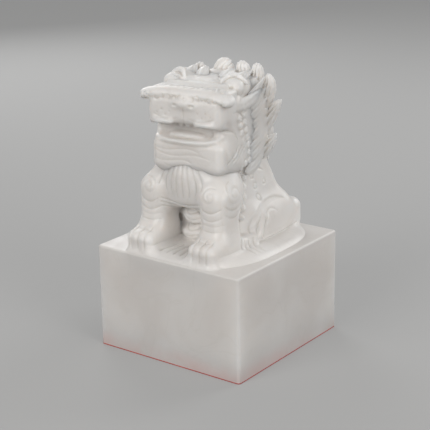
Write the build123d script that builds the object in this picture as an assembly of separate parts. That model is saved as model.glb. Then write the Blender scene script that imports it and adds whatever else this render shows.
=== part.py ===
from build123d import *
import os
from math import asin, cos, pi, sin

# A square seal of white stone with a seated guardian lion carved on its top.
# The origin is the middle of the printing face. The lion looks along -Y and its left side is +X.

# The block, its printing face and the film of seal paste
block_width = 60.0
block_depth = 60.0
block_height = 35.5
corner_radius = 1.1
top_edge_radius = 0.8
relief_depth = 1.2
paste_thickness = 0.3
border_width = 2.6
land_width = 1.7
groove_width = 1.8
fret_cells = 3

# The low rock that the lion sits on
ground_width = 54.0
ground_depth = 57.0
ground_height = 1.8
ground_radius = 4.0
ground_bevel = 1.5

# The body
trunk_width = 36.8
trunk_depth = 34.2
trunk_height = 33.0
trunk_top_width = 19.2
trunk_top_depth = 25.0
trunk_radius = 4.5
trunk_sink = 1.8
trunk_setback = 7.1
belly_width = 15.0
belly_depth = 10.0
belly_height = 13.0
chest_width = 24.8
chest_depth = 17.2
chest_height = 19.0
bib_width = 15.0
bib_depth = 8.0
bib_height = 13.0
neck_width = 25.0
neck_depth = 26.0
neck_height = 15.0
neck_advance = 4.0

# The limbs
shoulder_width = 12.4
shoulder_depth = 18.0
shoulder_height = 18.0
foreleg_width = 10.6
foreleg_depth = 11.8
foreleg_height = 24.0
foreleg_radius = 4.2
foreleg_spread = 12.9
foreleg_advance = 16.2
forepaw_width = 11.4
forepaw_depth = 16.0
forepaw_height = 6.4
forepaw_reach = 4.2
paw_radius = 2.4
toe_groove = 1.3
toe_count = 4
haunch_width = 12.6
haunch_depth = 28.0
haunch_height = 15.0
haunch_spread = 12.2
haunch_setback = 9.0
hind_paw_width = 9.6
hind_paw_depth = 11.0
hind_paw_height = 4.8
elbow_curl = 3.2
tail_width = 19.0
tail_depth = 10.0
tail_height = 15.0
tail_flame_width = 5.6
tail_flame_tip = 2.4
tail_curl_width = 11.0
tail_curl_depth = 10.8
tail_curl_height = 11.2
spine_knob = 5.0

# The head
head_lift = 28.2
head_advance = 3.5
head_width = 30.0
head_depth = 25.0
head_height = 25.0
head_radius = 4.5
jaw_width = 26.0
jaw_depth = 15.2
jaw_height = 14.4
jaw_radius = 4.0
mouth_width = 20.0
mouth_depth = 5.4
mouth_height = 6.0
mouth_radius = 1.2
muzzle_width = 27.2
muzzle_depth = 13.6
muzzle_height = 10.4
muzzle_radius = 2.4
nose_width = 12.0
nose_depth = 6.0
nose_height = 4.8
brow_width = 34.0
brow_depth = 11.0
brow_height = 4.8
brow_radius = 2.0
crown_width = 24.0
crown_depth = 20.0
crown_height = 9.0
eye_size = 8.0
eyebrow_radius = 5.0
eyebrow_thickness = 2.6
forelock_width = 9.4
forelock_depth = 11.0
forelock_height = 8.0
ear_width = 4.6
ear_tip = 1.8
cheek_curl = 3.0
cheek_curl_rows = 6
beard_width = 3.6
beard_tip = 1.4
lock_width = 6.8
side_lock_width = 5.0
side_lock_tip = 1.6
side_lock_count = 4
mane_back_width = 27.6
mane_back_depth = 15.0
mane_back_height = 27.2

# The fillet of a fully rounded form and of a curl's outer edge, as shares of their smallest side
boss_round_share = 0.45
curl_round_share = 0.3

# Places on a form, as shares of its half width, half depth and half height from its middle
ground_outline_shares = ((-0.66, -1.0), (0.66, -1.0), (0.96, -0.66), (1.0, 0.0), (0.8, 0.72), (0.5, 1.0),
                         (-0.5, 1.0), (-0.8, 0.72), (-1.0, 0.0), (-0.96, -0.66))
belly_place_shares = (0.0, -0.92, -0.44)
chest_place_shares = (0.0, -1.09, 0.42)
bib_place_shares = (0.0, -0.66, -0.25)
shoulder_place_shares = (0.93, -0.12, -0.34)
haunch_rise_share = 0.36
paw_rise_share = 0.44
leg_rise_share = 0.42
tail_place_shares = (0.0, 0.86, -0.58)
tail_flame_shares = (((0.0, 0.84, -0.5), (0.0, 0.0, 1.74)), ((0.3, 0.8, -0.5), (0.64, -0.2, 1.2)),
                     ((-0.3, 0.8, -0.5), (-0.64, -0.2, 1.2)))
tail_curl_place_shares = (0.67, 0.88, -0.66)
spine_shares = ((0.0, 0.5, 0.66), (0.0, 0.56, 0.48), (0.0, 0.63, 0.3))
elbow_shares = ((0.5, 0.96, 0.42), (0.6, 0.88, 0.04), (0.66, 0.78, -0.34), (0.66, 0.66, -0.72))
muzzle_place_shares = (0.0, -0.88, 0.57)
jaw_place_shares = (0.0, -0.73, -0.79)
mouth_place_shares = (0.0, -1.0, -0.03)
nose_place_shares = (0.0, -0.77, 0.6)
brow_place_shares = (0.0, -0.92, 0.94)
crown_place_shares = (0.0, 0.16, 0.87)
eye_place_shares = (0.78, -0.3, 1.04)
eyebrow_place_shares = (0.75, -0.26, 1.12)
forelock_place_shares = (0.42, 0.28, 1.1)
ear_shares = ((0.98, -0.52, 0.66), (1.07, 0.46, 0.9))
cheek_side_share = 1.0
cheek_column_shares = (-0.38, -0.12)
cheek_reach_shares = (-0.96, 0.36)
beard_shares = (((1.1, -0.42, 0.5), (1.08, 0.04, -0.54)), ((1.12, -0.02, 0.4), (1.08, 0.42, -0.62)),
                ((1.12, 0.38, 0.28), (1.08, 0.82, -0.7)))
mane_back_place_shares = (0.0, 0.7, 0.02)
side_lock_shares = (((0.9, 0.08), (1.16, 0.56)), (-1.19, 0.24))
side_lock_rise_share = 0.5
mane_depth_share = 0.8
# Each lock of the ruff has the places of its root and its tip, and its width and its tip's width as shares
mane_shares = {
    "mane_crest": ((-0.05, 0.52), (0.06, 1.45), 1.32, 0.55),
    "mane_lock_1_left": ((0.38, 0.52), (0.49, 1.43), 1.0, 0.62),
    "mane_lock_2_left": ((0.68, 0.44), (0.87, 1.42), 0.9, 0.6),
    "mane_lock_3_left": ((0.9, 0.2), (1.16, 1.23), 1.0, 0.34),
    "mane_lock_4_left": ((0.9, -0.39), (1.46, 0.6), 0.94, 0.24),
    "mane_lock_5_left": ((0.85, -1.05), (1.33, -0.36), 0.92, 0.24),
    "mane_lock_1_right": ((-0.37, 0.5), (-0.33, 1.2), 0.9, 0.5),
    "mane_lock_2_right": ((-0.56, 0.44), (-0.61, 1.28), 1.0, 0.62),
    "mane_lock_3_right": ((-0.84, 0.2), (-1.03, 1.15), 1.04, 0.4),
    "mane_lock_4_right": ((-0.9, -0.39), (-1.43, 0.55), 0.94, 0.24),
    "mane_lock_5_right": ((-0.85, -1.05), (-1.31, -0.38), 0.92, 0.24),
}

# Turns in degrees
head_turn = 7.0
haunch_lean = 3.0
eyebrow_sweep = 190.0
eyebrow_start = -10.0
eyebrow_rise = 28.0

# Heights that the rest is stacked on
block_floor = paste_thickness + relief_depth
block_top = block_floor + block_height
ground_top = block_top + ground_height
head_floor = ground_top + head_lift

# The lion's head turns about its middle, a little to the lion's left
head_swing = Pos(0, -head_advance, 0) * Rot(0, 0, head_turn) * Pos(0, head_advance, 0)


class Form:
    """One carved form, with the middle and the size that its neighbours are placed by."""

    def __init__(self, name, middle, size, solid, paired=False, swing=Pos(0, 0, 0)):
        self.name = name
        self.middle = middle
        self.size = size
        self.solids = solid.solids()
        self.paired = paired
        self.swing = swing

    def spot(self, shares):
        return tuple(m + share * length / 2 for m, share, length in zip(self.middle, shares, self.size))


forms = []


def keep(name, middle, size, solid, paired=False, swing=Pos(0, 0, 0)):
    form = Form(name, middle, size, solid, paired, swing)
    forms.append(form)
    return form


def boss(size, radius):
    body = Box(*size)
    return fillet(body.edges(), min(radius, min(size) * boss_round_share))


def pebble(size):
    """A form rounded as far as its smallest side allows."""
    return boss(size, min(size))


def carve(name, middle, size, solid=None, turn=(0, 0, 0), paired=False, swing=Pos(0, 0, 0)):
    """A form on the middle plane or, where it is paired, the left one of a pair."""
    solid = pebble(size) if solid is None else solid
    return keep(name, middle, size, Pos(*middle) * Rot(*turn) * solid, paired, swing)


def carve_on_head(name, shares, size, solid=None, turn=(0, 0, 0), paired=False):
    return carve(name, head.spot(shares), size, solid, turn, paired, head_swing)


def fret_spiral(size):
    """A square spiral of lands that winds in from its lower left corner."""
    pitch = land_width + groove_width
    x = y = (land_width - size) / 2
    run = size - land_width
    step_x, step_y = 1, 0
    bars = []
    while run > pitch:
        end_x = x + step_x * run
        end_y = y + step_y * run
        bar = Rectangle(abs(end_x - x) + land_width, abs(end_y - y) + land_width)
        bars.append(Pos((x + end_x) / 2, (y + end_y) / 2) * bar)
        x, y = end_x, end_y
        step_x, step_y = -step_y, step_x
        if len(bars) > 2 and len(bars) % 2 == 1:
            run -= pitch
    return Sketch() + bars


def printing_lands():
    """The raised lands of the printing face: a plain border round a square of frets."""
    outer = RectangleRounded(block_width, block_depth, corner_radius)
    inner = Rectangle(block_width - 2 * border_width, block_depth - 2 * border_width)
    pitch_x = (block_width - 2 * border_width - groove_width) / fret_cells
    pitch_y = (block_depth - 2 * border_width - groove_width) / fret_cells
    spiral = fret_spiral(min(pitch_x, pitch_y) - groove_width)
    lands = [outer - inner]
    for row in range(fret_cells):
        for column in range(fret_cells):
            x = (column - (fret_cells - 1) / 2) * pitch_x
            y = (row - (fret_cells - 1) / 2) * pitch_y
            half_turns = (row + column) % 2
            lands.append(Pos(x, y) * Rot(0, 0, half_turns * 180) * spiral)
    return lands


def slab(faces, floor, height):
    solids = []
    for face in faces:
        solids += extrude(Pos(0, 0, floor) * face, height, dir=(0, 0, 1)).solids()
    return Compound(children=solids)


def seal_block():
    outline = Pos(0, 0, block_floor) * RectangleRounded(block_width, block_depth, corner_radius)
    body = extrude(outline, block_height, dir=(0, 0, 1))
    rim = body.faces().sort_by(Axis.Z)[-1].edges()
    return fillet(rim, top_edge_radius)


def carved_ground():
    points = [(x * ground_width / 2, y * ground_depth / 2) for x, y in ground_outline_shares]
    outline = Polygon(*points, align=None)
    outline = fillet(outline.vertices(), ground_radius)
    rock = extrude(Pos(0, 0, block_top) * outline, ground_height, dir=(0, 0, 1))
    return chamfer(rock.faces().sort_by(Axis.Z)[-1].edges(), ground_bevel)


def tapered_trunk():
    """A block with an upright front, whose sides and back lean in towards its top."""
    front, back = -trunk_depth / 2, trunk_depth / 2
    low, high = -trunk_height / 2, trunk_height / 2
    half, top_half = trunk_width / 2, trunk_top_width / 2
    from_front = Plane.XZ * Polygon((-half, low), (half, low), (top_half, high), (-top_half, high), align=None)
    top_back = front + trunk_top_depth
    from_side = Plane.YZ * Polygon((front, low), (back, low), (top_back, high), (front, high), align=None)
    body = extrude(from_front, trunk_depth, both=True) & extrude(from_side, trunk_width, both=True)
    return fillet(body.edges().group_by(Axis.Z)[1:], trunk_radius)


def paw(size):
    """A rounded paw with grooves that part its toes on top and in front."""
    width, depth, height = size
    body = boss(size, paw_radius)
    cuts = []
    for gap in range(1, toe_count):
        x = -width / 2 + gap * width / toe_count
        top_groove = Box(toe_groove, depth, toe_groove)
        front_groove = Box(toe_groove, toe_groove, height)
        cuts.append(Pos(x, -depth / 4, height / 2) * Rot(0, 45, 0) * top_groove)
        cuts.append(Pos(x, -depth / 2, 0) * Rot(0, 0, 45) * front_groove)
    return body - cuts


def lock(root, tip, width, tip_width):
    """A lock of hair: a ball at its root that tapers to a smaller one at its tip."""
    rise = Vector(*tip) - Vector(*root)
    length, root_radius, tip_radius = rise.length, width / 2, tip_width / 2
    lean = asin((root_radius - tip_radius) / length)
    low = -pi / 2
    outline = [
        ThreePointArc((0, -root_radius), round_point(root_radius, 0, (low + lean) / 2), round_point(root_radius, 0, lean)),
        Line(round_point(root_radius, 0, lean), round_point(tip_radius, length, lean)),
        ThreePointArc(round_point(tip_radius, length, lean), round_point(tip_radius, length, (lean - low) / 2),
                      (0, length + tip_radius)),
        Line((0, length + tip_radius), (0, -root_radius)),
    ]
    profile = Plane.XZ * make_face(outline)
    return Plane(origin=root, z_dir=rise) * revolve(profile, Axis.Z)


def round_point(radius, height, angle):
    return radius * cos(angle), height + radius * sin(angle)


def eyebrow():
    """A round bar that arches over the back half of the eye."""
    section = Pos(eyebrow_radius, 0, 0) * Rot(90, 0, 0) * Circle(eyebrow_thickness / 2)
    bar = revolve(section, Axis.Z, eyebrow_sweep)
    return Rot(eyebrow_rise, 0, 0) * Rot(0, 0, eyebrow_start) * bar


def cheek_curls():
    """Columns of round buttons that stand on the side of the head."""
    low, high = cheek_reach_shares
    button = Cylinder(cheek_curl / 2, cheek_curl)
    button = fillet(button.edges().sort_by(Axis.Z)[-1], cheek_curl * curl_round_share)
    curls = []
    for column in cheek_column_shares:
        for row in range(cheek_curl_rows):
            rise = low + (high - low) * row / (cheek_curl_rows - 1)
            curls.append(Pos(*head.spot((cheek_side_share, column, rise))) * Rot(0, 90, 0) * button)
    return curls


def side_locks():
    """Flames that sweep up and back, from behind the cheek curls to the ruff."""
    (root_x, root_y), (tip_x, tip_y) = side_lock_shares[0]
    low, high = side_lock_shares[1]
    locks = []
    for row in range(side_lock_count):
        rise = low + (high - low) * row / (side_lock_count - 1)
        root = head.spot((root_x, root_y, rise))
        tip = head.spot((tip_x, tip_y, rise + side_lock_rise_share))
        locks.append(lock(root, tip, side_lock_width, side_lock_tip))
    return locks


def mane_lock(root_shares, tip_shares, width_share, tip_share):
    """A lock of the ruff, which stands on the back of the head."""
    root = head.spot((root_shares[0], mane_depth_share, root_shares[1]))
    tip = head.spot((tip_shares[0], mane_depth_share, tip_shares[1]))
    width = lock_width * width_share
    return lock(root, tip, width, width * tip_share)


# The block and the rock
lands = printing_lands()
plain_pieces = {
    "seal_block": seal_block(),
    "face_relief": slab(lands, paste_thickness, relief_depth),
    "paste_film": slab(lands, 0, paste_thickness),
    "carved_ground": carved_ground(),
}

# The main masses, which the smaller forms are cut to fit
trunk_middle = (0, trunk_setback, ground_top - trunk_sink + trunk_height / 2)
trunk = carve("trunk", trunk_middle, (trunk_width, trunk_depth, trunk_height), tapered_trunk())
head_size = (head_width, head_depth, head_height)
head_middle = (0, -head_advance, head_floor + head_height / 2)
head = carve("skull", head_middle, head_size, boss(head_size, head_radius), swing=head_swing)
chest = carve("chest", trunk.spot(chest_place_shares), (chest_width, chest_depth, chest_height))
carve("neck", (0, -neck_advance, head_floor), (neck_width, neck_depth, neck_height))

# The limbs
haunch_middle = (haunch_spread, haunch_setback, ground_top + haunch_height * haunch_rise_share)
haunch_size = (haunch_width, haunch_depth, haunch_height)
carve("haunch", haunch_middle, haunch_size, turn=(haunch_lean, 0, 0), paired=True)
shoulder_size = (shoulder_width, shoulder_depth, shoulder_height)
shoulder = carve("shoulder", chest.spot(shoulder_place_shares), shoulder_size, paired=True)
forepaw_size = (forepaw_width, forepaw_depth, forepaw_height)
forepaw_y = -foreleg_advance - forepaw_reach
forepaw_middle = (foreleg_spread, forepaw_y, ground_top + forepaw_height * paw_rise_share)
forepaw = carve("forepaw", forepaw_middle, forepaw_size, paw(forepaw_size), paired=True)
foreleg_size = (foreleg_width, foreleg_depth, foreleg_height)
leg_middle = (foreleg_spread, -foreleg_advance, ground_top + foreleg_height * leg_rise_share)
carve("foreleg", leg_middle, foreleg_size, boss(foreleg_size, foreleg_radius), paired=True)
hind_size = (hind_paw_width, hind_paw_depth, hind_paw_height)
hind_x = foreleg_spread + (forepaw_width - hind_paw_width) / 2
hind_y = forepaw_middle[1] + (forepaw_depth + hind_paw_depth) / 2
hind_middle = (hind_x, hind_y, ground_top + hind_paw_height * paw_rise_share)
carve("hind_paw", hind_middle, hind_size, paw(hind_size), paired=True)
elbows = [Pos(*shoulder.spot(place)) * Sphere(elbow_curl / 2) for place in elbow_shares]
keep("elbow_curls", shoulder.middle, shoulder_size, Compound(children=elbows), paired=True)

# The trunk's own details
carve("belly", trunk.spot(belly_place_shares), (belly_width, belly_depth, belly_height))
carve("chest_bib", chest.spot(bib_place_shares), (bib_width, bib_depth, bib_height))
tail_size = (tail_width, tail_depth, tail_height)
tail_middle = trunk.spot(tail_place_shares)
tail = Form("tail_plume", tail_middle, tail_size, Pos(*tail_middle) * pebble(tail_size))
tail_flames = []
for root_shares, tip_shares in tail_flame_shares:
    root, tip = tail.spot(root_shares), tail.spot(tip_shares)
    tail_flames.append(lock(root, tip, tail_flame_width, tail_flame_tip))
keep("tail_plume", tail.middle, tail_size, Compound(children=[*tail.solids, *tail_flames]))
tail_curl_size = (tail_curl_width, tail_curl_depth, tail_curl_height)
carve("tail_curl", trunk.spot(tail_curl_place_shares), tail_curl_size, paired=True)
knobs = [Pos(*trunk.spot(place)) * Sphere(spine_knob / 2) for place in spine_shares]
keep("spine_knobs", trunk.middle, trunk.size, Compound(children=knobs))

# The face
muzzle_size = (muzzle_width, muzzle_depth, muzzle_height)
muzzle = carve_on_head("muzzle", muzzle_place_shares, muzzle_size, boss(muzzle_size, muzzle_radius))
jaw_size = (jaw_width, jaw_depth, jaw_height)
jaw = carve_on_head("lower_jaw", jaw_place_shares, jaw_size, boss(jaw_size, jaw_radius))
mouth_size = (mouth_width, mouth_depth, mouth_height)
carve_on_head("teeth_and_tongue", mouth_place_shares, mouth_size, boss(mouth_size, mouth_radius))
brow_size = (brow_width, brow_depth, brow_height)
carve_on_head("brow_roll", brow_place_shares, brow_size, boss(brow_size, brow_radius))
carve("nose", muzzle.spot(nose_place_shares), (nose_width, nose_depth, nose_height), swing=head_swing)
carve_on_head("crown", crown_place_shares, (crown_width, crown_depth, crown_height))
carve_on_head("eye", eye_place_shares, (eye_size, eye_size, eye_size), Sphere(eye_size / 2), paired=True)
brow_bar_size = (2 * eyebrow_radius, 2 * eyebrow_radius, eyebrow_thickness)
carve_on_head("eyebrow", eyebrow_place_shares, brow_bar_size, eyebrow(), paired=True)
ear_root, ear_end = (head.spot(place) for place in ear_shares)
keep("ear", head.middle, head_size, lock(ear_root, ear_end, ear_width, ear_tip), paired=True, swing=head_swing)
keep("cheek_curls", head.middle, head_size, Compound(children=cheek_curls()), paired=True, swing=head_swing)
tufts = []
for root_shares, tip_shares in beard_shares:
    root, tip = jaw.spot(root_shares), jaw.spot(tip_shares)
    tufts.append(lock(root, tip, beard_width, beard_tip))
keep("beard", jaw.middle, jaw_size, Compound(children=tufts), paired=True, swing=head_swing)

# The hair
forelock_size = (forelock_width, forelock_depth, forelock_height)
carve_on_head("forelock", forelock_place_shares, forelock_size, paired=True)
mane_back_size = (mane_back_width, mane_back_depth, mane_back_height)
carve_on_head("mane_back", mane_back_place_shares, mane_back_size)
for name, shares in mane_shares.items():
    keep(name, head.middle, head_size, mane_lock(*shares), swing=head_swing)
keep("mane_side", head.middle, head_size, Compound(children=side_locks()), paired=True, swing=head_swing)


def meets(first, second):
    """Whether two boxes overlap."""
    apart_x = first.min.X > second.max.X or second.min.X > first.max.X
    apart_y = first.min.Y > second.max.Y or second.min.Y > first.max.Y
    apart_z = first.min.Z > second.max.Z or second.min.Z > first.max.Z
    return not (apart_x or apart_y or apart_z)


def write(name, solids):
    shape = solids[0] if len(solids) == 1 else Compound(children=solids)
    export_step(shape, f"parts/{name}.step")


# Each form is cut to meet the forms before it face to face
os.makedirs("parts", exist_ok=True)
cutters = []
for name, shape in plain_pieces.items():
    write(name, shape.solids())
for name in ("seal_block", "carved_ground"):
    cutters.append((plain_pieces[name], plain_pieces[name].bounding_box()))
for form in forms:
    sides = {form.name: form.solids}
    if form.paired:
        mirrored = [mirror(solid, Plane.YZ) for solid in form.solids]
        sides = {f"{form.name}_left": form.solids, f"{form.name}_right": mirrored}
    for name, solids in sides.items():
        pieces = []
        for solid in solids:
            solid = form.swing * solid
            box = solid.bounding_box()
            near = [other for other, other_box in cutters if meets(box, other_box)]
            left = solid - near if near else solid
            if left.solids():
                pieces.append(max(left.solids(), key=lambda piece: piece.volume))
            cutters.append((solid, box))
        write(name, pieces)
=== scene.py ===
import math
import bpy
import numpy as np
from mathutils import Euler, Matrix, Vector


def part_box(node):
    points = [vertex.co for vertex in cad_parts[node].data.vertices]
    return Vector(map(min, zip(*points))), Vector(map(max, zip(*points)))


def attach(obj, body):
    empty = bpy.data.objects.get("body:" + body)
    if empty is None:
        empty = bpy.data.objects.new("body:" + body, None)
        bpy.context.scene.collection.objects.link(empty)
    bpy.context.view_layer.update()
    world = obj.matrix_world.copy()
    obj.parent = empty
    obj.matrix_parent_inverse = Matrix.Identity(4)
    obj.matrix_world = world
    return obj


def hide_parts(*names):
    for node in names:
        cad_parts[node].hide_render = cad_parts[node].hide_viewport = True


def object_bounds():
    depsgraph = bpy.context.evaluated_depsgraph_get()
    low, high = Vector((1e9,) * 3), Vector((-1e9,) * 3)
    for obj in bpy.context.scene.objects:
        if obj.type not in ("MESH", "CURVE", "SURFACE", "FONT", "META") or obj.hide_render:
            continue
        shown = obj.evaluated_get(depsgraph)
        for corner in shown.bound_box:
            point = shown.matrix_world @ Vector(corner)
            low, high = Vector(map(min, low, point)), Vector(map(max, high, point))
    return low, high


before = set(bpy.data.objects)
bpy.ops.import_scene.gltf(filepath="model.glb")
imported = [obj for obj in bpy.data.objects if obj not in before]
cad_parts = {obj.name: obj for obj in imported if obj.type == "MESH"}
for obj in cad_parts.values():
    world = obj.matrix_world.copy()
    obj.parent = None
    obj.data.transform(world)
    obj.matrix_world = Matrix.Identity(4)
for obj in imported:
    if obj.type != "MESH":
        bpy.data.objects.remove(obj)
cad_box = [list(corner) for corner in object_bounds()]

# Lengths in this file are millimetres until a mesh is made.
MM = 0.001
FINE = 0.27
MOST_TRIANGLES = 185000
BODY_AND_MANE = FINE * 1.1
INNER_SHARE = 0.18
FULL_STRAND_RADIUS = 2.4
SMOOTH_ROUNDS = 6
HOLLOW_REACH = 1.5


# Carving tools. The stone is a field of distances on a grid, below zero inside.

FAR = 3.0
LEAST_MARGIN = 1.5


def soft_min(a, b, blend):
    share = np.clip(0.5 + 0.5 * (b - a) / blend, 0, 1)
    return b + (a - b) * share - blend * share * (1 - share)


class Clay:
    def __init__(self, low, high, cell):
        self.cell = cell
        self.low = np.array(low, np.float32)
        counts = np.ceil((np.array(high) - self.low) / cell).astype(int) + 1
        self.axes = [(lo + cell * np.arange(n)).astype(np.float32) for lo, n in zip(self.low, counts)]
        self.field = np.full(counts, FAR, np.float32)

    def part(self, low, high):
        spans = [slice(*np.searchsorted(axis, (lo, hi))) for axis, lo, hi in zip(self.axes, low, high)]
        x, y, z = (axis[span] for axis, span in zip(self.axes, spans))
        return tuple(spans), (x[:, None, None], y[None, :, None], z[None, None, :])

    def add(self, form, blend=0.8, pair=False):
        """Joins a form to the stone; a pair has one on each side."""
        for each in form.both() if pair else [form]:
            margin = max(blend, LEAST_MARGIN)
            spans, place = self.part(each.low - margin, each.high + margin)
            there = self.field[spans]
            if there.size:
                self.field[spans] = soft_min(there, each.reach(*place).astype(np.float32), blend)

    def cut(self, form, blend=0.5, pair=False):
        """Takes a form away from the stone."""
        for each in form.both() if pair else [form]:
            margin = max(blend, LEAST_MARGIN)
            spans, place = self.part(each.low - margin, each.high + margin)
            there = self.field[spans]
            if there.size:
                self.field[spans] = -soft_min(-there, each.reach(*place).astype(np.float32), blend)

    def score(self, axis, line, width, depth, span, pair=False):
        """Engraves a groove along a line drawn across an axis, within a span of that axis."""
        if pair:
            if axis == 0:
                self.score(axis, line, width, depth, (-span[1], -span[0]))
            else:
                self.score(axis, [(-point[0], point[1]) for point in line], width, depth, span)
        first, second = [n for n in range(3) if n != axis]
        line = np.array(line, float)
        low = np.zeros(3)
        high = np.zeros(3)
        low[first], low[second] = line.min(0) - width
        high[first], high[second] = line.max(0) + width
        low[axis], high[axis] = span
        spans, _ = self.part(low, high)
        there = self.field[spans]
        if not there.size:
            return
        u = self.axes[first][spans[first]][:, None]
        v = self.axes[second][spans[second]][None, :]
        nearest = np.full((u.size, v.size), 9.0, np.float32)
        last = max(len(line) - 2, 1)
        for number, (start, end) in enumerate(zip(line[:-1], line[1:])):
            run = end - start
            passed = ((u - start[0]) * run[0] + (v - start[1]) * run[1]) / max(run @ run, 1e-6)
            along = np.clip(passed, 0, 1)
            gap = np.hypot(u - start[0] - along * run[0], v - start[1] - along * run[1])
            middle = 1 - abs(2 * (number + along * 0.999) / (last + 1) - 1)
            nearest = np.minimum(nearest, gap / (width * (0.45 + 0.55 * np.minimum(1, 3 * middle))))
        press = depth * np.clip(1 - nearest ** 2, 0, 1) ** 1.5
        self.field[spans] = there + np.expand_dims(press, axis).astype(np.float32)


class Form:
    """A shape: its lowest and highest corner and its distance function."""

    def __init__(self, low, high, reach):
        self.low = np.array(low, float)
        self.high = np.array(high, float)
        self.reach = reach

    def both(self):
        low = np.array([-self.high[0], self.low[1], self.low[2]])
        high = np.array([-self.low[0], self.high[1], self.high[2]])
        return [self, Form(low, high, lambda x, y, z: self.reach(-x, y, z))]


def placed(middle, half, turn, reach):
    """A form about its own middle, turned by degrees and set in its place."""
    matrix = np.array(Euler([math.radians(a) for a in turn]).to_matrix())
    middle = np.array(middle, float)
    extent = np.abs(matrix) @ np.array(half, float)

    def moved(x, y, z):
        x, y, z = x - middle[0], y - middle[1], z - middle[2]
        return reach(*(matrix[0, n] * x + matrix[1, n] * y + matrix[2, n] * z for n in range(3)))

    return Form(middle - extent, middle + extent, moved)


def egg(middle, half, turn=(0, 0, 0)):
    a, b, c = half

    def reach(u, v, w):
        near = np.sqrt((u / a) ** 2 + (v / b) ** 2 + (w / c) ** 2)
        slope = np.sqrt((u / a ** 2) ** 2 + (v / b ** 2) ** 2 + (w / c ** 2) ** 2)
        return near * (near - 1) / np.maximum(slope, 1e-4)

    return placed(middle, half, turn, reach)


def cushion(middle, half, radius, turn=(0, 0, 0)):
    core = np.array(half, float) - radius

    def reach(u, v, w):
        du, dv, dw = abs(u) - core[0], abs(v) - core[1], abs(w) - core[2]
        outer = np.sqrt(np.maximum(du, 0) ** 2 + np.maximum(dv, 0) ** 2 + np.maximum(dw, 0) ** 2)
        return outer + np.minimum(np.maximum(np.maximum(du, dv), dw), 0) - radius

    return placed(middle, half, turn, reach)


def tress(points, radii, across=(0, 1, 0), flat=1.0, strands=0, strand_depth=0.0):
    """A lock of hair through points, thin along one direction and grooved lengthwise into strands."""
    points = np.array(points, float)
    radii = np.array(radii, float)
    across = np.array(across, float) / np.linalg.norm(across)

    def reach(x, y, z):
        nearest = None
        for (start, end), (thick, thin) in zip(zip(points[:-1], points[1:]), zip(radii[:-1], radii[1:])):
            run = end - start
            rel = [x - start[0], y - start[1], z - start[2]]
            along = np.clip(sum(r * d for r, d in zip(rel, run)) / (run @ run), 0, 1)
            rel = [r - along * d for r, d in zip(rel, run)]
            push = (flat - 1) * sum(r * n for r, n in zip(rel, across))
            rel = [r + push * n for r, n in zip(rel, across)]
            radius = thick + (thin - thick) * along
            gap = np.sqrt(sum(r * r for r in rel)) - radius
            if strands:
                side = np.cross(run / np.linalg.norm(run), across)
                share = sum(r * n for r, n in zip(rel, side)) / radius
                wave = 0.5 + 0.5 * np.cos(math.pi * strands * (np.clip(share, -1, 1) + 1))
                groove = strand_depth * np.minimum(1, radius / FULL_STRAND_RADIUS)
                gap = gap + groove * wave ** 2 * np.clip(1.15 - abs(share), 0, 1)
            nearest = gap if nearest is None else np.minimum(nearest, gap)
        return nearest

    widest = radii.max()
    return Form(points.min(0) - widest, points.max(0) + widest, reach)


def bend(points, count=9):
    """A smooth run of places through three or more given ones."""
    points = np.array(points, float)
    marks = np.linspace(0, 1, len(points))
    shares = np.linspace(0, 1, count)
    powers = len(points) - 1
    return np.stack([np.polyval(np.polyfit(marks, axis, powers), shares) for axis in points.T], 1)


def flame(points, width, across, flat, strands=3, strand_depth=0.5, blunt=0.3):
    """A lock that swells from its root and then runs out to a tip."""
    path = bend(points)
    share = np.linspace(0, 1, len(path))
    thin = (1 - blunt) * np.clip((share - 0.35) / 0.65, 0, 1) ** 1.6
    swell = np.minimum(1, 0.62 + 1.5 * share) * (1 - thin)
    return tress(path, width / 2 * swell, across, flat, strands, strand_depth)


def arc(middle, radius, start, end, count=14):
    angles = np.radians(np.linspace(start, end, count))
    return [(middle[0] + radius * math.cos(a), middle[1] + radius * math.sin(a)) for a in angles]


def scroll(middle, radius, start, turns, count=26):
    """A flat spiral line that winds in."""
    shares = np.linspace(0, 1, count)
    angles = np.radians(start) + 2 * math.pi * turns * shares
    sizes = radius * (1 - (1 - INNER_SHARE) * shares)
    return [(middle[0] + s * math.cos(a), middle[1] + s * math.sin(a)) for s, a in zip(sizes, angles)]


# From the field to a mesh

CORNERS = [(i, j, k) for i in (0, 1) for j in (0, 1) for k in (0, 1)]


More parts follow.
